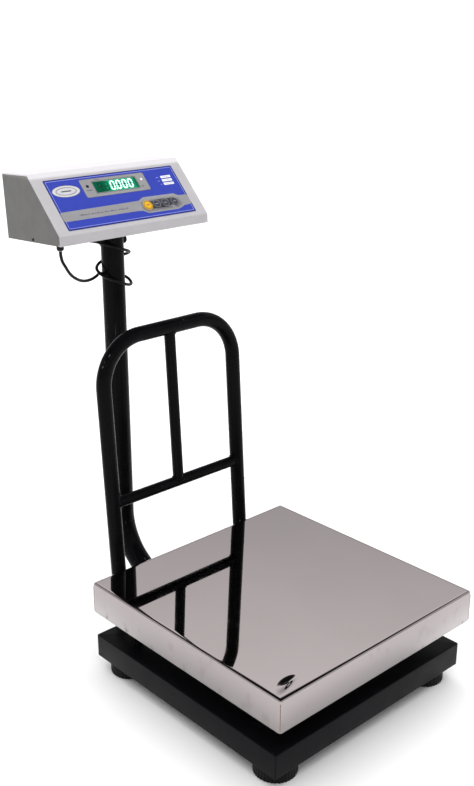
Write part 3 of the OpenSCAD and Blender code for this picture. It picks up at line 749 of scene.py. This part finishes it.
def add_base():
    """The base frame as one welded ring of box section with rounded edges."""
    tubes = [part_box(f"base_tube_{side}") for side in ("front", "rear", "left", "right")]
    low = Vector(map(min, *[box[0] for box in tubes]))
    high = Vector(map(max, *[box[1] for box in tubes]))
    centre = (low + high) / 2
    half = (high.x - low.x) / 2
    width, edge, corner = 50 * MM, 1.8 * MM, 2 * MM
    arc_steps = 4
    profile = []
    # the rounded edges in turn: outer low, outer high, inner high, inner low
    for first, inset, z in ((270, edge, low.z + edge), (180, edge, high.z - edge),
                            (90, width - edge, high.z - edge), (0, width - edge, low.z + edge)):
        for k in range(arc_steps + 1):
            a = math.radians(first - 90 * k / arc_steps)
            profile.append((inset + edge * math.cos(a), z + edge * math.sin(a)))
    loops = [square_loop(centre, half - inset, max(corner - inset, 0.4 * MM), z, 5) for inset, z in profile]
    points = [p for loop in loops for p in loop]
    ring = build("base_ring", (points, loops_to_faces(len(loops), len(loops[0]), True)), POWDER, "base")
    merge(ring)
    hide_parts("base_tube_front", "base_tube_rear", "base_tube_left", "base_tube_right")

    # ground-down weld seams across the mitres
    seams = []
    for sx in (-1, 1):
        for sy in (-1, 1):
            out = Vector((sx, sy, 0))
            arc_in = corner * (1 - math.cos(math.radians(45)))
            line = [(arc_in + 0.2 * MM, low.z + 3 * MM), (arc_in + 0.2 * MM, high.z - 3 * MM),
                    (arc_in + 1.3 * MM, high.z - 0.9 * MM), (arc_in + 3 * MM, high.z - 0.3 * MM),
                    (width - 3 * MM, high.z - 0.3 * MM), (width - 0.5 * MM, high.z - 1.2 * MM),
                    (width - 0.2 * MM, high.z - 4 * MM), (width - 0.2 * MM, low.z + 3 * MM)]
            path = [Vector((centre.x, centre.y, z)) + out * (half - inset) for inset, z in line]
            seams.append(tube(path, 0.45 * MM, 8))
    build("mitre_welds", joined(seams), POWDER, "base")


add_pan()
add_base()


# ---------------------------------------------------------------- welds on the guard rail and the column


def bead(matrix, bar, other, start):
    """A weld bead where a bar along local z meets a tube of radius other lying along local x.
    The matrix puts the tube's axis at the origin; start is 1 or -1 for the bar's side."""
    line = []
    steps = 44
    for k in range(steps):
        a = 2 * math.pi * k / steps
        x, y = bar * math.cos(a), bar * math.sin(a)
        reach = math.sqrt(max(other ** 2 - y ** 2, (0.32 * other) ** 2))
        line.append(matrix @ Vector((x, y, start * reach)))
    radii = [1.75 * MM + 0.3 * MM * math.sin(14 * 2 * math.pi * k / steps) for k in range(steps)]
    return tube(line, 0, 8, closed=True, radii=radii)


def add_rail_welds():
    """Weld beads at the four joints of the rail, at its brackets and round the column's foot."""
    hoop_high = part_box("guard_hoop")[1]
    cross_low, cross_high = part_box("guard_cross_rail")
    cross = (cross_low + cross_high) / 2
    rail_r, bar_r, column_r = 11.6 * MM, 8.7 * MM, 18.4 * MM
    top = Vector((0, hoop_high.y - rail_r, hoop_high.z - rail_r))
    up = (top - cross).normalized()
    across = up.cross(X_AXIS)
    upright_x = hoop_high.x - rail_r
    beads = []
    for side in (-1, 1):
        centre = Vector((side * upright_x, cross.y, cross.z))
        beads.append(bead(frame_matrix(centre, up, across, X_AXIS), bar_r, rail_r, -side))
    bar_low, bar_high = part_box("guard_centre_bar")
    aside = Vector(((bar_low.x + bar_high.x) / 2, 0, 0))
    beads.append(bead(frame_matrix(cross + aside, X_AXIS, across, up), bar_r, bar_r, 1))
    beads.append(bead(frame_matrix(top + aside, X_AXIS, across, up), bar_r, rail_r, -1))
    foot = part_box("guard_brackets")
    for side in (-1, 1):
        z = foot[1].z + 0.3 * MM
        centre = cross + up * ((z - cross.z) / up.z) + Vector((side * upright_x, 0, 0))
        circle = [centre + rail_r * (math.cos(math.radians(8 * k)) * X_AXIS
                                     + math.sin(math.radians(8 * k)) * across) for k in range(23, 45)]
        beads.append(tube(circle, 1.6 * MM, 8))
    flange_low, flange_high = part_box("column_flange")
    z = (flange_low.z + flange_high.z) / 2
    circle = [Vector((column_r * math.cos(math.radians(8 * k)), flange_high.y + 0.6 * MM,
                      z + column_r * math.sin(math.radians(8 * k)))) for k in range(45)]
    beads.append(tube(circle, 2.0 * MM, 8, closed=True))
    build("weld_beads", joined(beads), TUBE, "base")

    # butt joints where the hoop's legs were lengthened
    left_joint_z, right_joint_z = 266 * MM, 214 * MM
    joints = []
    for side, z in ((-1, left_joint_z), (1, right_joint_z)):
        centre = cross + up * ((z - cross.z) / up.z) + Vector((side * upright_x, 0, 0))
        circle = [centre + rail_r * (math.cos(math.radians(10 * k)) * X_AXIS
                                     + math.sin(math.radians(10 * k)) * across) for k in range(36)]
        joints.append(tube(circle, 0.4 * MM, 6, closed=True))
    build("leg_joints", joined(joints), TUBE, "base")


add_rail_welds()


# ---------------------------------------------------------------- indicator

# the sloped face leans back by its own angle less the indicator's tilt
FACE_LEAN = math.radians(46)
PANEL_T = 0.5 * MM
PANEL_START = 7.4 * MM
overlay_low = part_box("overlay")[0]
face_up = Vector((0, math.cos(FACE_LEAN), math.sin(FACE_LEAN)))
face_out = Vector((0, -math.sin(FACE_LEAN), math.cos(FACE_LEAN)))
panel_foot = Vector((0, overlay_low.y + PANEL_T * math.sin(FACE_LEAN), overlay_low.z))
face_origin = panel_foot - PANEL_START * face_up
FACE = frame_matrix(face_origin, X_AXIS, face_up, face_out)
# each layer of print, and how far its underside is sunk in the panel
INK = 0.07 * MM
SUNK = 0.05 * MM
# where the keys are on the face, in millimetres
KEY_Y = 31
KEY_X = {node: (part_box(node)[0].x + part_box(node)[1].x) / 2 / MM
         for node in ("key_power", "key_unit", "key_hold", "key_zero")}


def in_mm(outline):
    return [(p[0] * MM, p[1] * MM) for p in outline]


def inked(outline, layer=1):
    """One printed patch on the panel; its outline is in millimetres across and up the face."""
    return plate(in_mm(outline), PANEL_T - SUNK, PANEL_T + layer * INK)


def inked_ring(outer, inner, layer=1):
    return ring_plate(in_mm(outer), in_mm(inner), PANEL_T - SUNK, PANEL_T + layer * INK)


def print_piece(name, patches, finish):
    build(name, placed(joined(patches), FACE), finish, "indicator")


def add_prints():
    """The panel's printing: border, band, bezel, plain badge and blank legend boxes."""
    edge = box_outline(-122.9, 7.5, 122.9, 98.3, 2)
    print_piece("print_edge", [inked_ring(edge, box_outline(-121.5, 8.9, 121.5, 96.9, 1.6))], FILM_DARK)
    line = box_outline(-120.4, 10.2, 120.4, 95.6, 1.4)
    print_piece("print_line", [inked_ring(line, box_outline(-119.7, 10.9, 119.7, 94.9, 1.1))], FILM_LINE)

    band = rounded([(-122.8, 23.0), (12, 23.2), (23, 22.4), (32, 16.5), (92, 16.0), (98, 17.8), (107, 21.2),
                    (122.8, 22.2), (122.8, 40.7), (105, 40.9), (97.5, 45.6), (36, 46.4), (25, 41.2),
                    (-122.8, 39.8)], 4, 3)
    holes = [(x * MM, KEY_Y * MM, 7.9 * MM) for x in KEY_X.values()]
    print_piece("print_band", [holed_plate(in_mm(band), holes, PANEL_T - SUNK, PANEL_T + 2 * INK)], FILM_GREY)
    bezel = box_outline(-62.6, 58.4, 60.8, 92.4, 3.5)
    print_piece("print_bezel_edge", [inked_ring(bezel, box_outline(-61.9, 59.1, 60.1, 91.7, 3))], FILM_SHADE)
    print_piece("print_bezel", [inked(box_outline(-61.9, 59.1, 60.1, 91.7, 3))], FILM_GREY)

    badge_x, badge_y = -92.5, 75.4
    print_piece("print_badge_edge", [inked_ring(oval(badge_x, badge_y, 25.2, 10.9),
                                                oval(badge_x, badge_y, 24.3, 10.1))], FILM_SHADE)
    print_piece("print_badge", [inked(oval(badge_x, badge_y, 24.3, 10.1))], FILM_SILVER)
    print_piece("print_badge_mark", [
        inked_ring(oval(badge_x, badge_y, 18.5, 7.0), oval(badge_x, badge_y, 17.4, 6.1), 2),
        inked(box_outline(badge_x - 9, badge_y - 1.1, badge_x + 9, badge_y + 1.1, 1), 2)], FILM_SHADE)

    boxes = [(90.6, 76.6, 110.6, 80.9), (90.2, 69.8, 110.4, 74.4), (90.0, 63.2, 110.4, 67.6)]
    print_piece("print_boxes", [inked(box_outline(*b, 0.6)) for b in boxes], FILM_WHITE)
    rules = [box_outline(x0 + 2.4, (y0 + y1) / 2 - 0.3, x1 - 2.4, (y0 + y1) / 2 + 0.3, 0.2)
             for x0, y0, x1, y1 in boxes]
    print_piece("print_box_rules", [inked(r, 2) for r in rules], FILM_GREY)
    marks = [box_outline(81.0, 78.0, 85.4, 79.1, 0.4), box_outline(81.6, 71.2, 85.4, 72.3, 0.4),
             box_outline(83.6, 64.6, 86.0, 65.7, 0.4)]
    print_piece("print_marks", [inked(m) for m in marks], FILM_LINE)

    print_piece("print_dot", [inked(oval(-52, 79, 2.6, 2.6, 24), 2)], FILM_BLACK)
    fine = [box_outline(-56 + 2.6 * k, 71.0, -54.2 + 2.6 * k, 72.2, 0.3) for k in range(4)]
    fine += [box_outline(-34 + 2.3 * k, 88.6, -32.4 + 2.3 * k, 89.6, 0.3) for k in range(4)]
    fine += [box_outline(46 + 2.4 * k, 66.0, 47.7 + 2.4 * k, 67.6, 0.3) for k in range(2)]
    print_piece("print_fine_marks", [inked(m, 2) for m in fine], FILM_BLACK)
    diamond = [(52, 77.2), (54.6, 79.8), (52, 82.4), (49.4, 79.8)]
    print_piece("print_icon", [inked(diamond, 2)], FILM_WHITE)

    # coloured rings round the keys
    for node, x in KEY_X.items():
        power = node == "key_power"
        reach = 8.7 if power else 8.2
        print_piece(node + "_ring", [inked_ring(oval(x, KEY_Y, reach, reach), oval(x, KEY_Y, 7.9, 7.9), 3)],
                    KEY_YELLOW if power else KEY_GREY)

    # short dashes of uneven length where a real panel has a line of small print
    dashes = []
    x = -92.0
    for k in range(20):
        long = 1.6 + 1.1 * ((k * 7) % 4)
        dashes.append(inked(box_outline(x, 29.6, x + long, 31.2 + 0.5 * ((k * 5) % 3), 0.3), 3))
        x += long + (2.6 if k % 5 == 4 else 1.1)
    print_piece("print_dashes", dashes, FILM_INK)


SEGMENTS = {
    "a": ((0, 1), (1, 1)), "b": ((1, 1), (1, 0.5)), "c": ((1, 0.5), (1, 0)), "d": ((1, 0), (0, 0)),
    "e": ((0, 0), (0, 0.5)), "f": ((0, 0.5), (0, 1)), "g": ((0, 0.5), (1, 0.5)),
}
DIGIT_W, DIGIT_H = 6.5, 14.6
DIGIT_Y, DIGIT_PITCH = 68.3, 11.5
DIGIT_SLANT = math.tan(math.radians(7))
CELLS = [-33.4 + DIGIT_PITCH * k for k in range(6)]


def segment(corner, letter, thick):
    """One pointed segment of a digit whose lower left corner is given, in millimetres on the face."""
    (x0, y0), (x1, y1) = SEGMENTS[letter]
    a = Vector((corner[0] + x0 * DIGIT_W + y0 * DIGIT_H * DIGIT_SLANT, corner[1] + y0 * DIGIT_H))
    b = Vector((corner[0] + x1 * DIGIT_W + y1 * DIGIT_H * DIGIT_SLANT, corner[1] + y1 * DIGIT_H))
    along = (b - a).normalized()
    side = Vector((-along.y, along.x)) * thick / 2
    a, b = a + along * 0.1, b - along * 0.1
    tip = along * thick / 2
    return [a, a + tip - side, b - tip - side, b, b - tip + side, a + tip + side]


def add_display():
    """The window and its digits: two unlit cells, then a lit zero, a point and three zeros."""
    low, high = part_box("display_window")
    lit_from = (CELLS[2] - 1) * MM
    lit_to = (CELLS[5] + DIGIT_W + 1) * MM
    finish = window_finish(lit_from, lit_to)
    SLOT_FINISH["display_glass"] = finish
    x0, x1 = low.x / MM, high.x / MM
    centre_y = 75.6
    tall = 10.9
    window = box_outline(x0, centre_y - tall, x1, centre_y + tall, 0.8)
    crown = box_outline(x0 + 0.8, centre_y - tall + 0.8, x1 - 0.8, centre_y + tall - 0.8, 0.5)
    count = len(window)
    heights = [(window, PANEL_T - 2.4 * MM), (window, PANEL_T - 0.15 * MM), (crown, PANEL_T + 0.08 * MM)]
    points = [Vector((p[0] * MM, p[1] * MM, z)) for outline, z in heights for p in outline]
    faces = loops_to_faces(3, count, False)
    faces += [tuple(reversed(range(count))), tuple(range(2 * count, 3 * count))]
    lens = build("window_lens", placed((points, faces), FACE), finish, "indicator")
    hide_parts("display_window")
    around = box_outline(x0 - 0.5, centre_y - tall - 0.5, x1 + 0.5, centre_y + tall + 0.5, 1.0)
    print_piece("window_frame", [inked_ring(around, window, 2)], FILM_BLACK)

    lit, unlit = [], []
    lit_height, unlit_height = 0.16 * MM, 0.12 * MM
    for k, x in enumerate(CELLS):
        for letter in SEGMENTS:
            on = k >= 2 and letter != "g"
            outline = segment((x, DIGIT_Y), letter, 2.3 if on else 1.9)
            high = PANEL_T + (lit_height if on else unlit_height)
            (lit if on else unlit).append(plate(in_mm(outline), PANEL_T, high))
    point_x = CELLS[2] + DIGIT_W + 2.3
    lit.append(plate(in_mm(oval(point_x, DIGIT_Y - 0.4, 1.0, 1.0, 16)), PANEL_T, PANEL_T + lit_height))
    build("digits_lit", placed(joined(lit), FACE), lit_segment(), "indicator")
    dark = printed("digit_unlit", srgb(3, 60, 44), 0.3)
    build("digits_unlit", placed(joined(unlit), FACE), dark, "indicator")


def add_keys():
    """Domed key caps with a printed rim and a short bar."""
    for node, x in KEY_X.items():
        finish, slot = (KEY_YELLOW, "key_yellow") if node == "key_power" else (KEY_GREY, "key_grey")
        spot = Vector((x * MM, KEY_Y * MM, 0))
        here = FACE @ Matrix.Translation(spot)
        profile = [(7.5, -2.6), (7.5, 0.75), (7.35, 1.05), (7.0, 1.22), (6.2, 1.3), (4.5, 1.36), (2.2, 1.4),
                   (0.3, 1.41)]
        cap = lathe([(r * MM, z * MM) for r, z in profile], 48)
        rim = lathe([(8.6 * MM, -3.0 * MM), (8.6 * MM, -2.35 * MM), (7.0 * MM, -2.35 * MM)], 48)
        piece = build(node + "_cap", placed(joined([cap, rim]), here), finish, node + "_body")
        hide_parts(node)
        ring = ring_plate(in_mm(oval(0, 0, 7.05, 7.05, 48)), in_mm(oval(0, 0, 6.35, 6.35, 48)),
                          1.1 * MM, 1.33 * MM)
        bar = plate(in_mm(box_outline(-3.2, -0.7, 3.2, 0.7, 0.5)), 1.3 * MM, 1.46 * MM)
        ink = FILM_SHADE if node == "key_power" else FILM_GREY
        build(node + "_print", placed(joined([ring, bar]), here), ink, node + "_body")


def add_fittings():
    """The gland's ribbed nut and the tilt bolt's domed head."""
    turn = Matrix.Rotation(math.radians(-3), 4, "X")
    low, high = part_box("cable_gland")
    bottom = Vector(((low.x + high.x) / 2, CABLE_ROUTE[0][1], low.z))
    nut_profile = [(3.2, 1.1), (4.4, 1.15), (5.1, 1.7), (5.6, 2.9), (5.7, 4.2), (5.5, 5.6), (5.1, 6.4),
                   (5.0, 7.6)]
    nut = lathe(nut_profile, 72, 12, 0.3)
    place = Matrix.Translation(bottom) @ turn @ Matrix.Scale(MM, 4)
    build("gland_nut", placed(nut, place), FITTING, "indicator")
    seal = lathe([(2.9, -0.1), (3.5, -0.05), (3.75, 0.4), (3.7, 1.0), (3.4, 1.3)], 36)
    build("gland_seal", placed(seal, place), FILM_GREY, "indicator")

    bolt_low, bolt_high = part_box("pivot_bolt")
    axis = Vector((0, (bolt_low.y + bolt_high.y) / 2, (bolt_low.z + bolt_high.z) / 2))
    face_x = bolt_high.x - 4.2 * MM
    dome = [(6.9, 0.0), (6.9, 1.4), (6.7, 2.4), (6.1, 3.3), (5.0, 4.0), (3.4, 4.35), (3.0, 4.35), (2.9, 2.6)]
    lay = Matrix.Translation((face_x, axis.y, axis.z)) @ Matrix.Rotation(math.radians(90), 4, "Y")
    build("pivot_head", placed(lathe([(r * MM, z * MM) for r, z in dome], 36), lay), SCREW, "indicator")


add_prints()
add_display()
add_keys()
add_fittings()


# ---------------------------------------------------------------- finishes of the CAD nodes

for part in frame["record"]["subparts"]:
    node = frame["nodes"][part["node"]]
    node.data.materials.clear()
    node.data.materials.append(SLOT_FINISH[part["material_slot"]])

# folded and sawn edges are never knife sharp
SOFT_EDGES = {"head_front": 0.7, "head_cover": 0.5, "tilt_bracket": 0.4, "guard_brackets": 0.5,
              "column_flange": 0.5, "power_inlet": 0.3, "switch_housing": 0.3, "power_rocker": 0.3,
              "fuse_holder": 0.3, "weigh_arm_left": 0.6, "weigh_arm_right": 0.6, "load_beam": 0.6}
for node, width in SOFT_EDGES.items():
    bevel = frame["nodes"][node].modifiers.new("soft_edges", "BEVEL")
    bevel.width = width * MM
    bevel.segments = 2
    bevel.limit_method = "ANGLE"
    bevel.angle_limit = math.radians(50)
